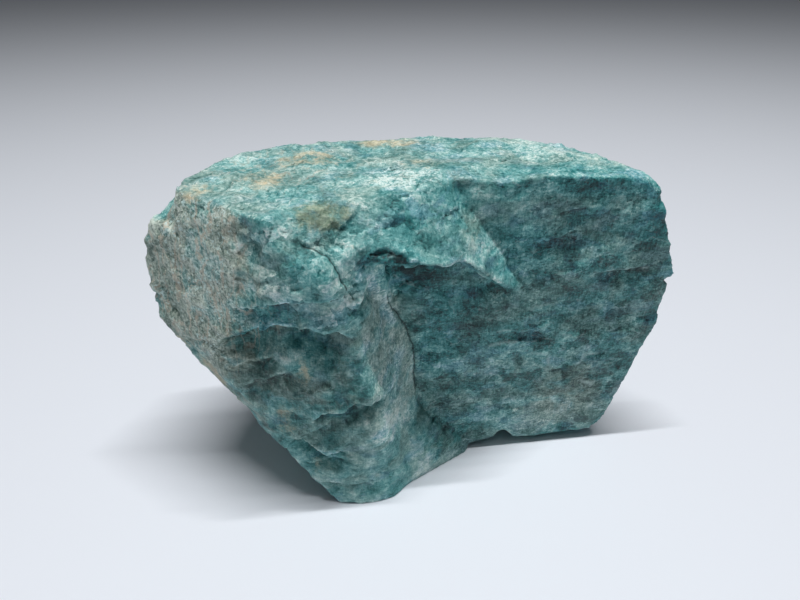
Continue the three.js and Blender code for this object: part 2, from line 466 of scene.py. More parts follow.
@dataclass(frozen=True)
class Crack(Work):
    """A narrow open crack, or a soft groove where it isn't dark inside."""

    depth: float = 0.7
    width: float = 0.35
    dark: bool = True

    def shape(self, surface: Surface) -> None:
        """Open the crack.

        Args:
            surface: The surface to open.
        """
        chosen, signed, from_end = self.wobbled(surface, 3.0 * self.width + 1.0, sway=0.25)
        groove = 1.0 - smoothstep(0.0, self.width + 0.25, np.abs(signed))
        depth = self.depth * groove * smoothstep(-0.5, 1.5, from_end)
        surface.points[chosen] -= depth[:, None] * surface.normals[chosen]


@dataclass(frozen=True)
class Lump(Work):
    """A low swelling around its first place, or a hollow where its rise is less than 0."""

    rise: float = 0.6
    reach: float = 3.0
    ragged: float = 0.8
    notch: float = 2.0

    def shape(self, surface: Surface) -> None:
        """Raise the surface around the place.

        Args:
            surface: The surface to raise.
        """
        away = np.linalg.norm(surface.points - np.array(self.places[0]), axis=1)
        away += self.ragged * LatticeNoise(Seed.SWELLING).fractal(surface.points / self.notch, 2)
        swell = 1.0 - smoothstep(0.55 * self.reach, self.reach, away)
        surface.points += (self.rise * swell)[:, None] * surface.normals


@dataclass(frozen=True)
class Zone:
    """A stretch of the surface with a character of its own.

    It counts for the vertices near its place that face its way, down to about the turn's cosine.
    Its weights say how much of each thing there is, where 1 is plenty: the coarse lumps, the tilted
    faces, the level steps and the grain of the relief, and in colour the greyness, tan veins, sugary
    flecks, chunkiness and upright streaks. The tone is added to the stone's lightness.
    """

    at: Place
    reach: Place
    facing: Place
    turn: float = 0.55
    lumps: float = 0.4
    facets: float = 0.5
    steps: float = 0.3
    grain: float = 0.5
    tone: float = 0.0
    grey: float = 0.3
    tan: float = 0.0
    sugar: float = 0.5
    chunky: float = 0.5
    upright: float = 0.0

    def share(self, points: np.ndarray, normals: np.ndarray) -> np.ndarray:
        """Find how fully each vertex lies in the zone.

        Args:
            points: The vertices, in millimetres.
            normals: Their broad facing, free of small relief.

        Returns:
            A weight from 0 to 1 for each vertex.
        """
        offset = (points - np.array(self.at)) / np.array(self.reach)
        near = 1.0 - smoothstep(0.8, 1.2, np.linalg.norm(offset, axis=1))
        faced = smoothstep(self.turn - 0.2, self.turn + 0.15, normals @ unit(self.facing))
        return near * faced


class Look(Enum):
    """The named attributes that the stone's finish reads."""

    TONE = "tone"
    GREY = "grey"
    TAN = "tan"
    SUGAR = "sugar"
    CHUNKY = "chunky"
    UPRIGHT = "upright"
    RUST = "rust"
    OLIVE = "olive"
    RIDGE_HIGHLIGHT = "ridge_highlight"
    HOLLOW_SHADE = "hollow_shade"
    CRACK = "crack"
    CRACK_NEAR = "crack_near"
    VEIN = "vein"
    VEIN_NEAR = "vein_near"


@dataclass(frozen=True)
class SoftPatch:
    """A soft patch of another colour or tone; some tone patches are painted shade and highlight."""

    look: Look
    at: Place
    reach: Place
    strength: float

    def share(self, points: np.ndarray) -> np.ndarray:
        """The stain's strength at each point, fading outwards."""
        offset = (points - np.array(self.at)) / np.array(self.reach)
        return self.strength * (1.0 - smoothstep(0.2, 1.0, np.linalg.norm(offset, axis=1)))


@dataclass(frozen=True)
class Nodes:
    """A material's node tree, with a method for each kind of node that the stone needs."""

    tree: bpy.types.NodeTree

    def wire(self, socket: Socket, value: object) -> None:
        """Link a socket to another, or set its value.

        Args:
            socket: The input socket.
            value: The socket to link, or a plain value.
        """
        if isinstance(value, Socket):
            self.tree.links.new(value, socket)
        else:
            socket.default_value = value

    def add(self, kind: str, **settings: object) -> bpy.types.Node:
        """Add a node.

        Args:
            kind: The node's type.
            settings: Its options by their names, and its inputs by theirs.

        Returns:
            The new node.
        """
        node = self.tree.nodes.new(kind)
        inputs = {}
        for name, value in settings.items():
            if hasattr(node, name):
                setattr(node, name, value)
            else:
                inputs[name.replace("_", " ").lower()] = value
        for name, value in inputs.items():
            self.wire(next(s for s in node.inputs if s.enabled and s.name.lower() == name), value)
        return node

    def place(self) -> Socket:
        """Object coordinates in millimetres."""
        where = self.add("ShaderNodeTexCoord").outputs["Object"]
        return self.add("ShaderNodeVectorMath", operation="SCALE", Vector=where,
                        Scale=1.0 / MM).outputs["Vector"]

    def attribute(self, look: Look) -> Socket:
        """The value of one of the chunk's attributes."""
        return self.add("ShaderNodeAttribute", attribute_name=look.value).outputs["Fac"]

    def ragged(self, place: Socket, size: float, amount: float) -> Socket:
        """Push coordinates about, so that straight edges become ragged.

        Args:
            place: Coordinates in millimetres.
            size: How far apart the pushes vary, in millimetres.
            amount: How far they reach, in millimetres.

        Returns:
            The pushed coordinates.
        """
        push = self.add("ShaderNodeTexNoise", Vector=place, Scale=1.0 / size, Detail=3.0)
        push = self.add("ShaderNodeVectorMath", operation="SCALE", Vector=push.outputs["Color"],
                        Scale=2.0 * amount)
        moved = self.add("ShaderNodeVectorMath", operation="ADD")
        self.wire(moved.inputs[0], place)
        self.wire(moved.inputs[1], push.outputs["Vector"])
        return moved.outputs["Vector"]

    def scaled(self, place: Socket, size: Place, tilt: float = 0.0) -> Socket:
        """Stretch coordinates, so that a pattern of size 1 gets the given size.

        Args:
            place: Coordinates in millimetres.
            size: The pattern's length along each axis, in millimetres.
            tilt: How far the pattern is turned about the front-to-back axis, in degrees.

        Returns:
            The stretched coordinates.
        """
        node = self.add("ShaderNodeMapping", Vector=place)
        node.inputs["Rotation"].default_value = (0.0, math.radians(tilt), 0.0)
        node.inputs["Scale"].default_value = tuple(1.0 / length for length in size)
        return node.outputs["Vector"]

    def noise(self, place: Socket, size: Place, detail: float = 3.0,
              rough: float = 0.6, tilt: float = 0.0, warp: float = 0.0) -> Socket:
        """Add a noise pattern.

        Args:
            place: Coordinates in millimetres.
            size: The pattern's length along each axis, in millimetres.
            detail: How many finer octaves are added.
            rough: How strong they are.
            tilt: Turn about the front-to-back axis, in degrees.
            warp: How much the pattern is distorted.

        Returns:
            The noise, around 0.5.
        """
        return self.add("ShaderNodeTexNoise", Vector=self.scaled(place, size, tilt), Scale=1.0,
                        Detail=detail, Roughness=rough, Distortion=warp).outputs["Fac"]

    def cells(self, place: Socket, size: Place, tilt: float = 0.0) -> tuple[Socket, Socket, Socket]:
        """Split space into blocky cells, with random values for each.

        Args:
            place: Coordinates in millimetres.
            size: A cell's length along each axis, in millimetres.
            tilt: Turn about the front-to-back axis, in degrees.

        Returns:
            Three random values, each the same all over a cell.
        """
        cells = self.add("ShaderNodeTexVoronoi", distance="CHEBYCHEV", Scale=1.0,
                         Vector=self.scaled(place, size, tilt))
        parts = self.add("ShaderNodeSeparateColor", Color=cells.outputs["Color"])
        return parts.outputs["Red"], parts.outputs["Green"], parts.outputs["Blue"]

    def math(self, operation: str, first: object, second: object = 0.0, third: object = 0.0,
             clamp: bool = False) -> Socket:
        """Combine values.

        Args:
            operation: The Math node's operation.
            first: First value or socket.
            second: Second value or socket.
            third: Third value or socket.
            clamp: Whether the result is held between 0 and 1.

        Returns:
            The result.
        """
        node = self.add("ShaderNodeMath", operation=operation, use_clamp=clamp)
        for socket, value in zip(node.inputs, (first, second, third)):
            self.wire(socket, value)
        return node.outputs["Value"]

    def product(self, *factors: object) -> Socket:
        """Multiply values, and hold the result between 0 and 1.

        Args:
            factors: The values or sockets.

        Returns:
            Their product.
        """
        result = factors[0]
        for factor in factors[1:]:
            result = self.math("MULTIPLY", result, factor, clamp=True)
        return result

    def mix(self, share: object, first: object, second: object) -> Socket:
        """Mix two values."""
        rest = self.math("SUBTRACT", 1.0, share)
        return self.math("MULTIPLY_ADD", second, share, self.math("MULTIPLY", first, rest))

    def blend(self, share: object, first: object, second: object, kind: str = "MIX") -> Socket:
        """Blend two colours.

        Args:
            share: How much of the second colour there is.
            first: First colour or socket.
            second: Second colour or socket.
            kind: The blend type.

        Returns:
            The blended colour.
        """
        node = self.add("ShaderNodeMix", data_type="RGBA", blend_type=kind)
        for socket, value in zip([s for s in node.inputs if s.enabled], (share, first, second)):
            self.wire(socket, value)
        return next(s for s in node.outputs if s.enabled)

    def ramp(self, value: Socket, stops: Ramp) -> Socket:
        """Turn a value into a colour.

        Args:
            value: The value to look up.
            stops: Positions and their colours, in order.

        Returns:
            The colour.
        """
        node = self.add("ShaderNodeValToRGB", Fac=value)
        elements = node.color_ramp.elements
        while len(elements) < len(stops):
            elements.new(0.5)
        for element, (position, colour) in zip(elements, stops):
            element.position = position
            element.color = colour
        return node.outputs["Color"]

    def rise(self, value: object, low: float, high: float) -> Socket:
        """Stretch the part of a value between low and high over 0 to 1, smoothly.

        Args:
            value: The value or socket to stretch.
            low: What becomes 0.
            high: What becomes 1.

        Returns:
            The stretched value.
        """
        node = self.add("ShaderNodeMapRange", interpolation_type="SMOOTHSTEP", Value=value)
        node.inputs["From Min"].default_value = low
        node.inputs["From Max"].default_value = high
        return node.outputs["Result"]

    def grey(self, value: Socket) -> Socket:
        """A grey of the given value."""
        return self.add("ShaderNodeCombineColor", Red=value, Green=value,
                        Blue=value).outputs["Color"]


@dataclass(frozen=True)
class StoneFinish:
    """Blue-green feldspar: a sugary, chunky break with pale seams, flecks and rusty patches.

    Each ramp runs from the darkest shade of the stone to the palest.
    """

    green: Ramp = (
        (0.00, (0.002, 0.026, 0.029, 1.0)), (0.20, (0.008, 0.094, 0.098, 1.0)),
        (0.40, (0.030, 0.215, 0.218, 1.0)), (0.60, (0.120, 0.380, 0.380, 1.0)),
        (0.80, (0.330, 0.620, 0.600, 1.0)), (1.00, (0.780, 0.930, 0.900, 1.0)),
    )
    dull: Ramp = (
        (0.00, (0.012, 0.030, 0.027, 1.0)), (0.30, (0.078, 0.134, 0.112, 1.0)),
        (0.60, (0.242, 0.332, 0.280, 1.0)), (1.00, (0.700, 0.790, 0.700, 1.0)),
    )
    blue: Ramp = (
        (0.00, (0.004, 0.024, 0.036, 1.0)), (0.40, (0.032, 0.172, 0.222, 1.0)),
        (0.70, (0.160, 0.420, 0.500, 1.0)), (1.00, (0.760, 0.900, 0.960, 1.0)),
    )
    frost: Colour = (0.680, 0.880, 0.860, 1.0)
    abyss: Colour = (0.006, 0.040, 0.044, 1.0)
    tan: Colour = (0.600, 0.520, 0.410, 1.0)
    rust: Colour = (0.430, 0.330, 0.190, 1.0)
    olive: Colour = (0.190, 0.190, 0.085, 1.0)
    crack: Colour = (0.010, 0.016, 0.016, 1.0)
    roughness: float = 0.52
    index: float = 1.53
    sheen: float = 0.34
    bump: float = 0.6
    bump_height: float = 0.35

    def material(self) -> bpy.types.Material:
        """Build the stone's material.

        Returns:
            The material, painted from object coordinates and the chunk's attributes.
        """
        material = bpy.data.materials.new("amazonite_stone")
        material.use_nodes = True
        material.node_tree.nodes.clear()
        nodes = Nodes(material.node_tree)
        paint = StonePaint(self, nodes)
        shade = nodes.add(
            "ShaderNodeBsdfPrincipled", Base_Color=paint.colour(), Normal=paint.relief(),
            Roughness=paint.gloss(), IOR=self.index, Specular_IOR_Level=self.sheen,
        )
        output = nodes.add("ShaderNodeOutputMaterial")
        nodes.wire(output.inputs["Surface"], shade.outputs["BSDF"])
        return material


@dataclass
class StonePaint:
    """The stone finish worked out in nodes: its tone, colours, seams, stains, flecks and grain."""

    finish: StoneFinish
    nodes: Nodes
    patterns: dict[str, Socket] = field(init=False)

    def __post_init__(self) -> None:
        """Fill in the patterns."""
        self.patterns = self.shared()

    def shared(self) -> dict[str, Socket]:
        """Build the patterns that the colour, relief and gloss share.

        Returns:
            The patterns by name.
        """
        nodes = self.nodes
        place = nodes.place()
        broken = nodes.ragged(place, 1.2, 0.55)
        level = nodes.noise(place, (1.7, 1.2, 0.60), 4.0, 0.66, tilt=4.0)
        upright = nodes.noise(place, (0.38, 0.5, 1.9), 3.0, 0.66, tilt=-5.0)
        chunk, chunk_hue, chunk_gloss = nodes.cells(broken, (2.7, 2.2, 1.7), tilt=6.0)
        chip, fleck, _ = nodes.cells(nodes.ragged(place, 0.4, 0.2), (0.46, 0.42, 0.30))
        seam = nodes.noise(place, (5.0, 4.0, 3.4), 3.0, 0.5)
        net = nodes.noise(broken, (2.8, 2.8, 9.0), 1.5, 0.5, tilt=-8.0, warp=0.6)
        return {
            "cloud": nodes.noise(place, (12.0, 12.0, 8.0), 3.0),
            "patch": nodes.noise(broken, (5.2, 4.6, 3.8), 2.0, 0.55, warp=0.4),
            "mottle": nodes.noise(place, (2.2, 2.2, 2.1), 5.0, 0.68),
            "streak": nodes.mix(nodes.attribute(Look.UPRIGHT), level, upright),
            "grain": nodes.noise(place, (0.30, 0.30, 0.26), 2.0, 0.7),
            "hatch": nodes.noise(place, (0.26, 0.6, 1.5), 2.0, 0.6, tilt=-4.0),
            "chunk": chunk, "chunk_hue": chunk_hue, "chunk_gloss": chunk_gloss,
            "chip": chip, "fleck": fleck,
            "hue": nodes.noise(broken, (6.5, 6.0, 5.0), 3.0, 0.6, warp=0.5),
            "cool": nodes.noise(place, (5.5, 5.0, 3.6), 4.0, 0.65, warp=0.4),
            "seam": nodes.math("ABSOLUTE", nodes.math("SUBTRACT", seam, 0.5)),
            "net": nodes.math("ABSOLUTE", nodes.math("SUBTRACT", net, 0.5)),
        }

    def tone(self) -> Socket:
        """Work out how light the stone is.

        Returns:
            The lightness, from 0 to 1.
        """
        nodes, patterns = self.nodes, self.patterns
        sugar = nodes.math("ADD", nodes.attribute(Look.SUGAR), 0.3)
        chunky = nodes.attribute(Look.CHUNKY)
        combed = nodes.math("MULTIPLY_ADD", nodes.attribute(Look.UPRIGHT), 1.0, 0.4)
        broad = nodes.math("MULTIPLY_ADD", nodes.attribute(Look.SUGAR), -0.3, 1.15)
        layers = (
            ("cloud", 0.55, broad), ("patch", 0.58, broad), ("mottle", 0.88, broad),
            ("streak", 0.46, combed), ("hatch", 0.40, combed), ("grain", 0.50, sugar),
            ("chip", 0.22, sugar), ("chunk", 0.42, chunky),
        )
        total = nodes.math("ADD", 0.45, nodes.attribute(Look.TONE))
        for name, weight, scale in layers:
            centred = nodes.math("MULTIPLY", nodes.math("SUBTRACT", patterns[name], 0.5), scale)
            total = nodes.math("MULTIPLY_ADD", centred, weight, total)
        # Ridges get a painted highlight and hollows painted shade.
        total = nodes.math("MULTIPLY_ADD", nodes.attribute(Look.RIDGE_HIGHLIGHT), 0.15, total)
        total = nodes.math("MULTIPLY_ADD", nodes.attribute(Look.HOLLOW_SHADE), -0.26, total)
        return nodes.math("ADD", total, 0.0, clamp=True)

    def colour(self) -> Socket:
        """Paint the stone.

        Returns:
            The base colour.
        """
        nodes, patterns, finish = self.nodes, self.patterns, self.finish
        tone = self.tone()
        cool = nodes.math("MULTIPLY_ADD", patterns["chunk_hue"], 0.20, patterns["cool"])
        cool = nodes.product(nodes.rise(cool, 0.60, 0.76), 0.75,
                             nodes.math("SUBTRACT", 1.0, nodes.attribute(Look.TAN)))
        colour = nodes.blend(cool, nodes.ramp(tone, finish.green), nodes.ramp(tone, finish.blue))
        dulled = nodes.math("ADD", nodes.rise(patterns["hue"], 0.40, 0.60), 0.30)
        dulled = nodes.product(nodes.attribute(Look.GREY), dulled, 1.25)
        colour = nodes.blend(dulled, colour, nodes.ramp(tone, finish.dull))
        colour = self.seams(colour)
        colour = self.soft_patch(colour, Look.RUST, finish.rust, tone)
        colour = self.soft_patch(colour, Look.OLIVE, finish.olive, tone)
        return self.cracks(self.flecks(colour))

    def seams(self, colour: Socket) -> Socket:
        """Draw the pale seams and the network of tan veins.

        Args:
            colour: The colour below.

        Returns:
            The veined colour.
        """
        nodes, patterns = self.nodes, self.patterns
        pale = nodes.rise(patterns["seam"], 0.030, 0.0)
        pale = nodes.product(pale, nodes.rise(patterns["mottle"], 0.44, 0.62), 0.22)
        colour = nodes.blend(pale, colour, self.finish.frost)
        net = nodes.rise(patterns["net"], 0.036, 0.004)
        net = nodes.product(net, nodes.rise(patterns["mottle"], 0.30, 0.52),
                            nodes.attribute(Look.TAN), 0.72)
        light = nodes.math("MULTIPLY_ADD", patterns["grain"], 1.3, 0.35)
        tan = nodes.blend(1.0, self.finish.tan, nodes.grey(light), "MULTIPLY")
        return nodes.blend(net, colour, tan)

    def soft_patch(self, colour: Socket, look: Look, tint: Colour, tone: Socket) -> Socket:
        """Lay a broken stain over the stone.

        Args:
            colour: The colour below.
            look: The attribute that says where the stain is.
            tint: The stain's colour.
            tone: The lightness, which still shows through.

        Returns:
            The stained colour.
        """
        nodes = self.nodes
        broken = nodes.math("MULTIPLY_ADD", nodes.attribute(look), 0.50, self.patterns["mottle"])
        share = nodes.product(nodes.rise(broken, 0.66, 0.98), 0.62)
        light = nodes.math("MULTIPLY_ADD", tone, 1.7, 0.25)
        shaded = nodes.blend(1.0, tint, nodes.grey(light), "MULTIPLY")
        return nodes.blend(share, colour, shaded)

    def flecks(self, colour: Socket) -> Socket:
        """Scatter clusters of white chips and dark pits.

        Args:
            colour: The colour below.

        Returns:
            The flecked colour.
        """
        nodes, patterns = self.nodes, self.patterns
        sugar = nodes.rise(nodes.attribute(Look.SUGAR), 0.80, 1.40)
        bright = nodes.math("MULTIPLY_ADD", patterns["streak"], 0.5, patterns["fleck"])
        white = nodes.product(nodes.rise(bright, 1.08, 1.20), sugar, 0.85)
        colour = nodes.blend(white, colour, self.finish.frost)
        dim = nodes.math("MULTIPLY_ADD", patterns["mottle"], 0.6, patterns["fleck"])
        dark = nodes.product(nodes.rise(dim, 0.38, 0.28), sugar, 0.7)
        return nodes.blend(dark, colour, self.finish.abyss)

    def cracks(self, colour: Socket) -> Socket:
        """Draw the thin pale lines and the dark cracks that the chunk's attributes trace.

        Args:
            colour: The colour below.

        Returns:
            The colour with its lines.
        """
        nodes, finish = self.nodes, self.finish
        worn = nodes.rise(self.patterns["mottle"], 0.36, 0.60)
        for away, near, tint, width, strength in (
            (Look.VEIN, Look.VEIN_NEAR, finish.frost, 0.55, nodes.product(worn, 0.42)),
            (Look.CRACK, Look.CRACK_NEAR, finish.crack, 0.15, 0.65),
        ):
            distance = nodes.math("ABSOLUTE", nodes.attribute(away))
            line = nodes.product(nodes.rise(distance, width, 0.05), nodes.attribute(near), strength)
            colour = nodes.blend(line, colour, tint)
        return colour

    def relief(self) -> Socket:
        """Build the finest grain, as a bump.

        Returns:
            The bumped normal.
        """
        nodes, patterns = self.nodes, self.patterns
        height = nodes.math("MULTIPLY", patterns["streak"], 0.6)
        for name, weight in (("mottle", 1.0), ("grain", 0.8), ("chip", 0.22)):
            height = nodes.math("MULTIPLY_ADD", patterns[name], weight, height)
        chunk = nodes.math("MULTIPLY", patterns["chunk"], nodes.attribute(Look.CHUNKY))
        height = nodes.math("MULTIPLY_ADD", chunk, 0.45, height)
        return nodes.add("ShaderNodeBump", Height=height, Strength=self.finish.bump,
                         Distance=self.finish.bump_height * MM).outputs["Normal"]

    def gloss(self) -> Socket:
        """The roughness, lower on the cleavage faces that shine."""
        shine = self.nodes.rise(self.patterns["chunk_gloss"], 0.70, 0.95)
        return self.nodes.math("MULTIPLY_ADD", shine, -0.22, self.finish.roughness)


@dataclass
class AmazoniteChunk:
    """The chunk of stone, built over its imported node. Its sizes and heights are in millimetres."""

    node: str = NODE
    finish: StoneFinish = field(default_factory=StoneFinish)
    voxel: float = 0.32
    soften: int = 6
    triangles: int = 188000
    lump_size: float = 6.5
    lump_height: float = 0.62
    facet_size: Place = (4.6, 4.0, 3.2)
    facet_height: float = 0.62
    step_size: Place = (8.0, 5.0, 2.2)
    step_height: float = 0.34
    grain_size: float = 0.95
    grain_height: float = 0.17
    swirl_size: float = 4.0
    facet_swirl: float = 0.9
    step_swirl: float = 1.3
    small_size: float = 0.4
    small_facets: float = 0.4
    small_steps: float = 0.5
    patch_size: float = 9.0
    fine_size: float = 0.9
    plain_share: float = 0.12
    facing_rounds: int = 24
    swelling_rounds: int = 6
    swelling_span: tuple[float, float] = (0.03, 0.22)
    trace_reach: float = 2.5

    def zones(self) -> list[Zone]:
        """The stretches of the surface, from the top round to the foot."""
        return [
            # The top.
            Zone((0, -2, 54), (60, 40, 8), (0, 0, 1), turn=0.75, lumps=0.35, facets=0.35,
                 steps=0.15, grain=0.6, tone=0.22, grey=0.35, tan=0.15, sugar=1.02, chunky=0.25),
            # The left facet.
            Zone((-31.5, -11, 42), (12, 12, 15), (-0.55, -0.83, 0), turn=0.75, lumps=0.45,
                 facets=0.25, steps=0.0, grain=0.9, tone=0.31, grey=1.4, tan=1.0, sugar=1.3,
                 chunky=0.15, upright=1.0),
            # The brow.
            Zone((-14, -17, 45), (11, 8, 11), (0.1, -0.9, 0.2), turn=0.55, lumps=0.6,
                 facets=0.8, steps=0.2, grain=0.5, tone=0.20, grey=0.26, tan=0.10, sugar=0.6,
                 chunky=1.0, upright=0.4),
            # The shelf.
            Zone((-2, -13, 48), (10, 8, 7), (0.2, -0.75, 0.6), turn=0.5, lumps=0.5,
                 facets=0.6, steps=0.2, grain=0.6, tone=0.10, grey=0.10, sugar=0.5,
                 chunky=0.6, upright=0.3),
            # The tongue.
            Zone((9, -7, 44), (8, 8, 9), (0.5, -0.75, 0.45), turn=0.75, lumps=0.3,
                 facets=0.35, steps=0.1, grain=0.5, tone=0.16, grey=0.14, sugar=0.5,
                 chunky=0.4, upright=0.6),
            # The front panel.
            Zone((20, 0, 30), (24, 7, 30), (0.13, -0.99, -0.08), turn=0.85, lumps=0.30,
                 facets=0.20, steps=0.08, grain=0.4, tone=-0.03, grey=0.29, sugar=0.95,
                 chunky=0.7, upright=0.7),
            # The side wall.
            Zone((-3, -9, 28), (6, 9, 20), (0.92, -0.37, 0.14), turn=0.7, lumps=0.3,
                 facets=0.12, steps=0.0, grain=0.35, tone=0.28, grey=0.42, sugar=1.0,
                 chunky=0.1, upright=0.8),
            # The chest.
            Zone((-17, -15, 25), (14, 8, 12), (-0.2, -0.98, 0), turn=0.6, lumps=0.45,
                 facets=0.30, steps=0.2, grain=0.35, tone=-0.02, grey=0.45, tan=0.1, sugar=0.4,
                 chunky=0.3, upright=0.6),
            # The left end.
            Zone((-38, 6, 36), (9, 18, 20), (-0.97, 0.15, -0.1), turn=0.5, lumps=0.45,
                 facets=0.4, steps=0.1, grain=0.5, tone=0.16, grey=0.8, tan=0.55, sugar=0.7,
                 chunky=0.3, upright=0.6),
            # The right end.
            Zone((38, 6, 36), (9, 26, 24), (0.95, 0, -0.2), turn=0.5, lumps=0.3,
                 facets=0.2, steps=0.0, grain=0.4, tone=-0.02, grey=0.2, sugar=0.4),
            # The foot.
            Zone((-6, -12, 9), (16, 8, 12), (0.2, -0.9, 0.2), turn=0.4, lumps=0.5,
                 facets=0.35, steps=0.2, grain=0.35, tone=0.19, grey=0.26, sugar=0.4,
                 chunky=0.25, upright=0.2),
            # The slope under the left end.
            Zone((-26, -6, 18), (16, 14, 16), (-0.7, -0.2, -0.6), turn=0.75, lumps=0.3,
                 facets=0.2, steps=0.2, grain=0.4, tone=0.12, grey=0.6, tan=0.3, sugar=0.4,
                 chunky=0.3, upright=0.3),
        ]

    def works(self) -> list[Work]:
        """The faces, edges and cracks that the chunk is known by, each ledge with painted shade below.
        """
        return [
            # Flat faces along the bottom of the brow.
            Cut(((-23.7, -16.0, 37.8),), facing=(-0.40, -0.90, -0.12), reach=2.6, sunk=0.35),
            Cut(((-18.6, -17.7, 39.0),), facing=(-0.10, -0.96, -0.22), reach=3.0, sunk=0.45),
            Cut(((-13.6, -17.9, 39.4),), facing=(0.10, -0.95, -0.26), reach=3.2, sunk=0.35),
            # The two edges of the brow.
            Ledge(((-25.2, -15.3, 39.6), (-21.1, -17.4, 41.0), (-16.5, -18.7, 42.1),
                   (-11.8, -18.5, 42.7), (-9.9, -17.0, 42.6)), drop=0.75, spread=5.0, lip=0.2),
            Ledge(((-28.7, -13.0, 32.6), (-25.2, -15.3, 34.9), (-21.6, -17.0, 36.8),
                   (-18.9, -17.3, 37.5), (-15.3, -17.5, 37.5), (-11.6, -15.5, 35.7),
                   (-9.7, -15.2, 34.7)), drop=2.4, spread=7.5, crisp=0.5, lip=0.5, painted_shade=0.12),
            # The ledges of the chest; the lowest has deep painted shade below it.
            Ledge(((-27.2, -12.7, 28.1), (-24.6, -13.2, 29.2), (-20.3, -14.6, 30.9)),
                  drop=0.7, spread=3.5, crisp=0.4, lip=0.1),
            Ledge(((-26.8, -12.4, 24.3), (-22.0, -14.1, 27.0), (-17.7, -15.0, 28.8)),
                  drop=0.7, spread=3.5, crisp=0.4, lip=0.1),
            Ledge(((-16.0, -14.9, 18.6), (-14.5, -15.4, 21.3), (-11.2, -15.6, 22.3),
                   (-8.7, -15.6, 23.6), (-5.8, -12.9, 22.5), (-4.9, -11.8, 22.2)),
                  drop=2.2, spread=5.5, crisp=0.4, lip=0.7, painted_shade=0.45),
            # The ledges of the foot.
            Ledge(((-19.5, -13.5, 14.7), (-14.8, -13.1, 11.2), (-11.5, -13.5, 11.8)),
                  drop=0.8, spread=3.0, lip=0.2),
            Ledge(((-19.0, -12.1, 9.0), (-14.8, -13.1, 9.6), (-10.7, -13.6, 10.9)),
                  drop=0.5, spread=3.0),
            Ledge(((-15.6, -12.7, 5.0), (-11.8, -13.3, 5.1), (-6.1, -12.3, 4.3)),
                  drop=0.4, spread=3.0),
            # The plates and edges of the front panel.
            Ledge(((26.4, -2.0, 37.3), (27.4, -2.1, 38.2), (31.2, -1.2, 38.0),
                   (36.0, -0.6, 38.1)), drop=0.4, spread=3.0, painted_shade=0.05),
            Ledge(((11.3, -2.6, 27.2), (14.1, -2.5, 27.5), (16.6, -2.0, 27.0),
                   (19.9, -1.6, 27.1)), drop=0.3, spread=2.5, painted_shade=0.12),
            Ledge(((19.4, -0.9, 22.6), (22.1, -0.6, 22.4), (22.4, -0.2, 20.0),
                   (22.3, 0.2, 17.6)), drop=-0.25, spread=2.5, painted_shade=-0.06),
            Ledge(((18.1, -3.8, 47.1), (20.1, -3.7, 48.5), (23.6, -3.5, 49.3),
                   (26.4, -2.8, 48.3)), drop=0.4, spread=4.0),
            Ledge(((16.3, -3.5, 43.4), (20.7, -3.1, 44.6), (25.0, -2.7, 46.0)),
                  drop=0.4, spread=4.0),
            Ledge(((6.0, -1.4, 10.1), (15.0, 0.1, 9.7), (23.2, 1.2, 9.5), (29.3, 2.5, 7.3),
                   (33.9, 3.1, 5.1)), drop=-0.2, spread=5.0, crisp=0.9, painted_shade=-0.15),
            # The front edge of the shelf and the tongue, with painted shade below it.
            Ledge(((-8.2, -15.8, 47.3), (-4.6, -15.2, 48.0), (-1.0, -14.9, 46.3),
                   (1.9, -14.4, 45.3), (4.6, -12.2, 44.3), (7.3, -10.0, 43.2),
                   (9.9, -7.6, 40.2), (12.6, -5.8, 37.8)), drop=0.5, spread=3.0, lip=0.3,
                  painted_shade=0.30),
            # The cracks in the brow and beside the wall, and two grooves.
            Crack(((-15.1, -17.5, 50.2), (-14.7, -17.6, 49.8), (-12.1, -17.3, 48.2),
                   (-10.5, -17.6, 45.5), (-9.9, -17.0, 43.0)), depth=0.3, width=0.15),
            Crack(((-4.6, -7.3, 37.9), (-4.3, -6.9, 35.5), (-3.1, -4.4, 32.2),
                   (-2.0, -4.0, 29.6), (-1.5, -3.9, 27.8), (-0.7, -3.4, 25.6),
                   (-0.6, -3.0, 23.5), (-0.4, -2.1, 18.4), (-0.1, -2.5, 15.5)),
                  depth=0.35, width=0.2),
            Crack(((6.9, -3.7, 54.6), (11.5, 2.0, 54.3), (15.5, 5.5, 54.1)),
                  depth=0.5, width=0.6, dark=False),
            Crack(((-0.1, -2.5, 15.5), (1.5, -2.4, 11.3), (2.8, -2.4, 9.7), (4.9, -1.4, 6.9)),
                  depth=0.25, width=0.5, dark=False),
            Ledge(((11.3, -2.5, 25.4), (16.8, -1.6, 25.2), (22.4, -1.0, 24.9)), drop=-0.35,
                  spread=4.0, painted_shade=-0.08),
            # The swelling of the brow and the outline of the left end.
            Lump(((-13.6, -18.4, 46.9),), rise=0.5, reach=3.0),
            Lump(((-35.4, -6.4, 50.9),), rise=-1.0, reach=3.8),
            Lump(((-38.4, -5.0, 46.6),), rise=0.4, reach=3.5),
            Lump(((-36.8, -6.0, 36.2),), rise=-0.9, reach=3.0),
        ]

    def veins(self) -> list[Line]:
        """Thin pale seams on the front panel."""
        return [
            Line(((26.4, -2.0, 37.3), (27.4, -2.1, 38.2), (31.2, -1.2, 38.0), (36.0, -0.6, 38.1))),
            Line(((8.5, -4.4, 42.0), (12.7, -3.5, 42.6))),
            Line(((12.6, -2.6, 27.3), (14.1, -2.5, 27.5), (16.6, -2.0, 27.0), (19.9, -1.6, 27.1))),
            Line(((11.5, -2.3, 24.9), (16.0, -1.8, 25.1), (18.6, -1.2, 24.6), (22.2, -1.0, 25.0))),
            Line(((18.4, -0.9, 22.2), (22.1, -0.6, 22.4), (22.4, -0.2, 20.0), (22.3, 0.2, 17.6))),
            Line(((26.1, 0.4, 17.8), (28.4, 0.5, 19.9), (28.6, 0.4, 21.2), (31.3, 0.9, 21.0))),
            Line(((32.4, 1.7, 16.5), (31.3, 2.0, 13.7), (28.8, 1.3, 15.0))),
            Line(((23.4, 0.9, 12.2), (25.3, 1.7, 9.8), (27.6, 2.4, 6.9))),
        ]

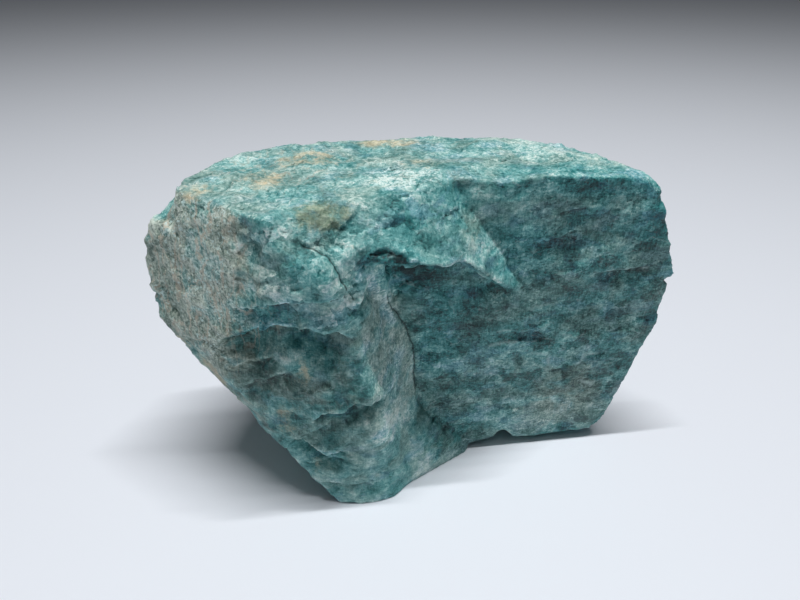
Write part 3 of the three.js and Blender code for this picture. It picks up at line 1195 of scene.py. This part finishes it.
    def soft_patches(self) -> list[SoftPatch]:
        """The patches of another colour or tone: for each look, their places, reach and strength."""
        patches = {
            Look.RUST: (
                ((-5.0, 11.5, 54.3), (10, 4, 6), 0.80), ((-16.0, 3.5, 54.0), (9, 6, 4), 0.70),
                ((-21.5, -4.5, 53.7), (6, 6, 4), 0.65), ((-0.3, 0.2, 54.6), (6, 4, 4), 0.5),
                ((-30.0, -8.0, 52.8), (5, 6, 3), 0.6), ((-30.5, -9.5, 24.5), (3, 3, 3), 0.8),
                ((-16.8, -15.2, 28.3), (2.4, 4, 4.5), 0.60), ((-20.3, -13.7, 18.7), (3, 4, 5), 0.65),
                ((-16.2, -12.9, 9.2), (2.5, 3, 4), 0.4), ((-31.5, -8.5, 26.0), (4, 4, 4), 0.75),
                ((-36.0, -7.0, 29.0), (2.6, 4, 2.6), 0.55),
                ((-31.0, -8.6, 22.0), (2.6, 4, 3.0), 0.55),
            ),
            Look.TAN: (
                ((-20, 0, 54), (16, 13, 4), 0.5),
            ),
            Look.OLIVE: (
                ((-12.2, -15.2, 53.0), (7.0, 4.5, 3.2), 0.95), ((-26.0, -1.0, 53.8), (6, 7, 4), 0.5),
            ),
            # (-3.0, -7.0, 41.3) and (-4.8, -15.8, 46.8) are painted shade under the shelf's lip and
            # below it.
            # The first two tone patches are a painted highlight on the top. Those at (0, -5, 39.5),
            Look.TONE: (
                ((-3.8, -6.0, 54.2), (5, 4.5, 3), 0.20), ((0.5, -3.0, 54.4), (5, 4, 3), 0.16),
                ((0, -5, 39.5), (9, 6, 4), -0.36), ((-3.0, -7.0, 41.3), (6, 5, 3), -0.28),
                ((-5.1, -12.2, 18.5), (5, 4, 5), 0.08), ((-7.2, -14.0, 20.5), (5, 4, 3), 0.08),
                ((-4.6, -12.2, 16.5), (6, 4, 6), 0.08), ((11.0, -6.4, 39.2), (4, 4, 4), 0.20),
                ((-18.3, -14.9, 31.0), (9, 5, 4), 0.22), ((-20.8, -17.1, 49.1), (6, 5, 4), 0.06),
                ((-0.8, -7.5, 15.5), (5, 5, 6), 0.16), ((14, -2, 26), (12, 5, 5), -0.04),
                ((-11.8, -15.0, 53.0), (6, 4, 3), -0.09), ((-3.0, -9.5, 16.8), (4, 4, 5), 0.13),
                ((-5.2, -12.7, 15.1), (2.2, 3, 2.5), -0.10),
                ((-17.4, -14.7, 33.8), (4, 4, 2.6), 0.14), ((-8.6, -15.6, 33.6), (4, 4, 3), 0.12),
                ((-8.0, 4.0, 54.0), (10, 7, 4), -0.05), ((24, -2, 53), (22, 5, 3), -0.11),
                ((20, 1.5, 8), (20, 5, 8), 0.20), ((16, -1.5, 29), (12, 5, 6), -0.05),
                ((36, -1.5, 45), (5, 5, 9), -0.19), ((-4.8, -15.8, 46.8), (5.0, 3, 2.4), -0.27),
                ((-16.5, -17.5, 38.6), (8, 4, 2.5), -0.12), ((18, 10, 54), (18, 12, 4), 0.08),
                ((15.5, -1.2, 22), (7, 4, 4), 0.08), ((-17.2, -17.7, 51.4), (4, 4, 3), 0.12),
            ),
            # The sugar patch adds white flecks to the painted highlight on the top.
            Look.SUGAR: (
                ((-2.5, -5.0, 54.2), (7, 5, 3), 1.0),
            ),
            Look.GREY: (
                ((-3.0, -7.0, 41.0), (8, 6, 4), -0.35), ((5.0, -3.5, 34.0), (9, 4, 5), -0.25),
                ((-12.0, -15.2, 20.5), (7, 4, 3), -0.30), ((-17.0, -15.0, 31.0), (10, 4, 5), -0.25),
                ((-3.0, -7.0, 41.0), (5, 5, 3), -0.30), ((-6.5, -14.0, 44.8), (6, 4, 3), -0.40),
                ((-1.5, -7.0, 39.0), (7, 6, 4), -0.45), ((-3.2, -15.8, 46.6), (5, 3, 3), -0.60),
                ((-10.5, -15.0, 19.8), (6, 4, 3), -0.35), ((14, -2, 26), (12, 5, 5), -0.22),
                ((24, -2, 53), (24, 5, 3.5), -0.45), ((16, -4, 43), (7, 4, 6), -0.40),
                ((3, -3, 26), (5, 4, 10), -0.40), ((35, -2, 47), (5, 5, 7), -0.50),
                ((27, 1.5, 12), (10, 5, 12), 0.25), ((-22, -16.0, 38.5), (8, 4, 5), -0.80),
                ((7, -7, 47), (4, 4, 4), 0.30), ((-14.5, -18.8, 47), (4, 4, 4), -0.3),
            ),
        }
        return [SoftPatch(look, *patch) for look, spots in patches.items() for patch in spots]

    def build(self) -> bpy.types.Object:
        """Build and dress the chunk.

        Returns:
            The finished object.
        """
        piece = self.rebuilt()
        surface = self.read(piece.data)
        self.weather(surface)
        self.write(piece.data, surface)
        piece = self.thinned(piece)
        self.paint(piece)
        piece.data.materials.clear()
        piece.data.materials.append(self.finish.material())
        return piece

    def rebuilt(self) -> bpy.types.Object:
        """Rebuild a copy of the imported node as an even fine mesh.

        Returns:
            A new object with the fine mesh.
        """
        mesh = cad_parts[self.node].data.copy()
        work = bmesh.new()
        work.from_mesh(mesh)
        bmesh.ops.remove_doubles(work, verts=work.verts, dist=0.01 * MM)
        work.to_mesh(mesh)
        work.free()
        piece = placed("amazonite_chunk", mesh)
        remesh = piece.modifiers.new("even", "REMESH")
        remesh.mode = "VOXEL"
        remesh.voxel_size = self.voxel * MM
        smooth = piece.modifiers.new("soften", "SMOOTH")
        smooth.factor = 0.5
        smooth.iterations = self.soften
        return self.applied(piece)

    def applied(self, piece: bpy.types.Object) -> bpy.types.Object:
        """Apply an object's modifiers.

        Args:
            piece: The object, which keeps its name.

        Returns:
            The same object with its final mesh and no modifiers.
        """
        depsgraph = bpy.context.evaluated_depsgraph_get()
        mesh = bpy.data.meshes.new_from_object(piece.evaluated_get(depsgraph))
        piece.modifiers.clear()
        piece.data = mesh
        mesh.shade_smooth()
        return piece

    def read(self, mesh: bpy.types.Mesh) -> Surface:
        """Read a mesh into arrays.

        Args:
            mesh: The mesh, in metres.

        Returns:
            Its surface, in millimetres.
        """
        points = np.empty(len(mesh.vertices) * 3)
        mesh.vertices.foreach_get("co", points)
        normals = np.empty(len(mesh.vertices) * 3)
        mesh.vertices.foreach_get("normal", normals)
        edges = np.empty(len(mesh.edges) * 2, dtype=np.int32)
        mesh.edges.foreach_get("vertices", edges)
        return Surface(points.reshape(-1, 3) / MM, normals.reshape(-1, 3), edges.reshape(-1, 2))

    def write(self, mesh: bpy.types.Mesh, surface: Surface) -> None:
        """Write a surface back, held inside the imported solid's box.

        Args:
            mesh: The mesh that takes the surface, in metres.
            surface: The surface, in millimetres.
        """
        low, high = (np.array(corner) / MM for corner in CAD_BOX)
        held = np.clip(surface.points, low + BOX_GAP, high - BOX_GAP)
        mesh.vertices.foreach_set("co", (held * MM).ravel())
        mesh.update()

    def facing(self, surface: Surface) -> np.ndarray:
        """The broad facing of each vertex, free of small relief."""
        broad = surface.average(surface.normals, self.facing_rounds)
        return broad / np.linalg.norm(broad, axis=1)[:, None]

    def character(self, surface: Surface, facing: np.ndarray,
                  names: tuple[str, ...]) -> dict[str, np.ndarray]:
        """Mix the zones' values over the surface.

        Args:
            surface: The surface.
            facing: Its broad facing.
            names: The zone fields to mix.

        Returns:
            One value for each vertex and name.
        """
        plain = Zone((0, 0, 0), (1, 1, 1), (0, 0, 1))
        shares = [np.full(len(surface.points), self.plain_share)]
        zones = [plain]
        for zone in self.zones():
            shares.append(zone.share(surface.points, facing))
            zones.append(zone)
        total = np.sum(shares, axis=0)
        return {
            name: sum(share * getattr(zone, name) for share, zone in zip(shares, zones)) / total
            for name in names
        }

    def weather(self, surface: Surface) -> None:
        """Work the surface from a plain solid to a broken stone.

        Args:
            surface: The surface, which is changed.
        """
        facing = self.facing(surface)
        surface.normals = facing
        traits = self.character(surface, facing, ("lumps", "facets", "steps", "grain"))
        points = surface.points
        facet_size, step_size = np.array(self.facet_size), np.array(self.step_size)
        swirl = np.stack([LatticeNoise(Seed.SWIRL + axis).fractal(points / self.swirl_size, 4, 0.6)
                          for axis in range(3)], axis=1)
        lumps = LatticeNoise(Seed.LUMPS).fractal(points / self.lump_size, 4, 0.5)
        broken = points + self.facet_swirl * swirl
        facets = LatticeNoise(Seed.FACETS).facets(broken / facet_size)
        small = LatticeNoise(Seed.SMALL_FACETS).facets(broken / (self.small_size * facet_size))
        facets = facets + self.small_facets * small
        steps = self.blocks(points + self.step_swirl * swirl, step_size, Seed.STEPS)
        small = self.blocks(broken, self.small_size * step_size, Seed.SMALL_STEPS)
        steps = steps + self.small_steps * small
        patches = LatticeNoise(Seed.PATCHES).fractal(points / self.patch_size, 2)
        patchy = smoothstep(-0.15, 0.45, patches)
        away, border = LatticeNoise(Seed.GRAIN).grains(points / self.grain_size)
        grain = 0.6 - away + 0.25 * smoothstep(0.0, 0.3, border)
        fine = LatticeNoise(Seed.FINE).fractal(points / self.fine_size, 2, 0.6)
        depth = (
            self.lump_height * traits["lumps"] * lumps
            + self.facet_height * traits["facets"] * facets
            + self.step_height * traits["steps"] * patchy * steps
            + self.grain_height * traits["grain"] * (grain + 0.6 * fine)
        )
        calm = smoothstep(0.05, CALM_FOOT, points[:, 2])
        surface.points = points + (calm * depth)[:, None] * facing
        for work in self.works():
            work.shape(surface)

    def blocks(self, points: np.ndarray, size: np.ndarray, seed: Seed) -> np.ndarray:
        """Heights of the blocks that the cleavage leaves.

        Args:
            points: The places, in millimetres.
            size: The length of a block along each axis.
            seed: Which blocks.

        Returns:
            One height from -1 to 1 for each place.
        """
        return LatticeNoise(seed).cell(np.floor(points / size))

    def thinned(self, piece: bpy.types.Object) -> bpy.types.Object:
        """Thin the mesh where it is flat, down to the triangles that it may have.

        Args:
            piece: The object, which keeps its name.

        Returns:
            The same object with its thinned mesh.
        """
        count = sum(len(polygon.vertices) - 2 for polygon in piece.data.polygons)
        decimate = piece.modifiers.new("thin", "DECIMATE")
        decimate.ratio = min(1.0, self.triangles / count)
        return self.applied(piece)

    def paint(self, piece: bpy.types.Object) -> None:
        """Work out the attributes that the finish reads.

        Args:
            piece: The object that gets them.
        """
        surface = self.read(piece.data)
        facing = self.facing(surface)
        looks = {look: np.zeros(len(surface.points)) for look in Look}
        zoned = (Look.TONE, Look.GREY, Look.TAN, Look.SUGAR, Look.CHUNKY, Look.UPRIGHT)
        traits = self.character(surface, facing, tuple(look.value for look in zoned))
        for look in zoned:
            looks[look] = traits[look.value]
        for soft_patch in self.soft_patches():
            looks[soft_patch.look] += soft_patch.share(surface.points)
        ledges = [work for work in self.works() if isinstance(work, Ledge)]
        surface.normals = facing
        # Painted shade: below each ledge's edge the tone is darkened.
        looks[Look.TONE] -= np.max([ledge.shade(surface) for ledge in ledges], axis=0)
        swelling = surface.swelling(self.swelling_rounds)
        # Paler where the surface swells, a painted highlight, and darker where it sinks, painted shade.
        looks[Look.RIDGE_HIGHLIGHT] = smoothstep(*self.swelling_span, swelling)
        looks[Look.HOLLOW_SHADE] = smoothstep(*self.swelling_span, -swelling)
        cracks = [work for work in self.works() if isinstance(work, Crack) and work.dark]
        self.trace(surface, cracks, looks[Look.CRACK], looks[Look.CRACK_NEAR])
        self.trace(surface, self.veins(), looks[Look.VEIN], looks[Look.VEIN_NEAR])
        for look, values in looks.items():
            attribute = piece.data.attributes.new(look.value, "FLOAT", "POINT")
            attribute.data.foreach_set("value", values.astype(np.float32))

    def trace(self, surface: Surface, lines: list[Line], away: np.ndarray, near: np.ndarray) -> None:
        """Note the distance from the nearest of some lines.

        Args:
            surface: The surface that the lines run over.
            lines: The lines.
            away: Filled with the distance, in millimetres.
            near: Filled with 1 along a line, fading to 0 past its ends.
        """
        away[:] = self.trace_reach
        for line in lines:
            chosen, signed, from_end = line.wobbled(surface, self.trace_reach, sway=0.22)
            away[chosen] = signed
            near[chosen] = smoothstep(-0.3, 0.8, from_end)


@dataclass(frozen=True)
class Lamp:
    """A soft lamp that points at the foot of the chunk, in metres, degrees and watts."""

    name: str
    at: Place
    size: tuple[float, float]
    turn: float
    power: float

    def hang(self) -> None:
        """Hang the lamp, its length along X before its turn."""
        light = bpy.data.lights.new(self.name, "AREA")
        light.shape = "RECTANGLE"
        light.size, light.size_y = self.size
        light.energy = self.power
        lamp = placed(self.name, light)
        lamp.location = self.at
        towards = unit(tuple(-a for a in self.at))
        lamp.rotation_euler = (math.asin(towards[1]), math.atan2(-towards[0], -towards[2]),
                               math.radians(self.turn))


@dataclass
class Studio:
    """The pale floor in metres, the soft light, and the camera in millimetres and degrees."""

    floor_width: float = 4.0
    floor_colour: Colour = (0.80, 0.835, 0.90, 1.0)
    floor_roughness: float = 0.7
    sky_colour: Colour = (0.90, 0.95, 1.0, 1.0)
    sky_strength: float = 0.060
    lamps: tuple[Lamp, ...] = (
        Lamp("strip", at=(0.022, -0.078, 0.6), size=(0.39, 0.01), turn=8.0, power=3.50),
        Lamp("front", at=(0.0, -0.26, 0.55), size=(0.45, 0.12), turn=10.0, power=0.14),
    )
    camera_at: Place = (-2.808, -90.065, 84.0)
    camera_tilt: float = 60.0
    lens: float = 29.1
    sensor: float = 36.0
    camera_near: float = 5.0

    def build(self) -> None:
        """Build the studio."""
        self.floor()
        self.world()
        for lamp in self.lamps:
            lamp.hang()
        self.camera()

    def floor(self) -> None:
        """Lay the floor that the chunk stands on."""
        work = bmesh.new()
        bmesh.ops.create_grid(work, x_segments=1, y_segments=1, size=self.floor_width / 2)
        mesh = bpy.data.meshes.new("studio_floor")
        work.to_mesh(mesh)
        work.free()
        floor = placed("studio_floor", mesh)
        material = bpy.data.materials.new("studio_floor")
        material.use_nodes = True
        shade = material.node_tree.nodes["Principled BSDF"]
        shade.inputs["Base Color"].default_value = self.floor_colour
        shade.inputs["Roughness"].default_value = self.floor_roughness
        mesh.materials.append(material)

    def world(self) -> None:
        """Light the studio softly from all round."""
        world = bpy.data.worlds.new("studio")
        bpy.context.scene.world = world
        world.use_nodes = True
        background = world.node_tree.nodes["Background"]
        background.inputs["Color"].default_value = self.sky_colour
        background.inputs["Strength"].default_value = self.sky_strength
        bpy.context.scene.view_settings.view_transform = "Standard"

    def camera(self) -> None:
        """Set up the camera."""
        data = bpy.data.cameras.new("camera")
        data.lens = self.lens
        data.sensor_width = self.sensor
        data.clip_start = self.camera_near * MM
        camera = placed("camera", data)
        camera.location = tuple(value * MM for value in self.camera_at)
        camera.rotation_euler = (math.radians(self.camera_tilt), 0.0, 0.0)
        bpy.context.scene.camera = camera


def main() -> None:
    """Build the chunk and the studio in order."""
    logging.basicConfig(level=logging.INFO, format="%(message)s")
    piece = AmazoniteChunk().build()
    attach(piece, "root")
    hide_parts(NODE)
    log.info("%s: %d faces", piece.name, len(piece.data.polygons))
    Studio().build()
    log.info("studio: floor, lamps and camera")


if __name__ == "__main__":
    main()
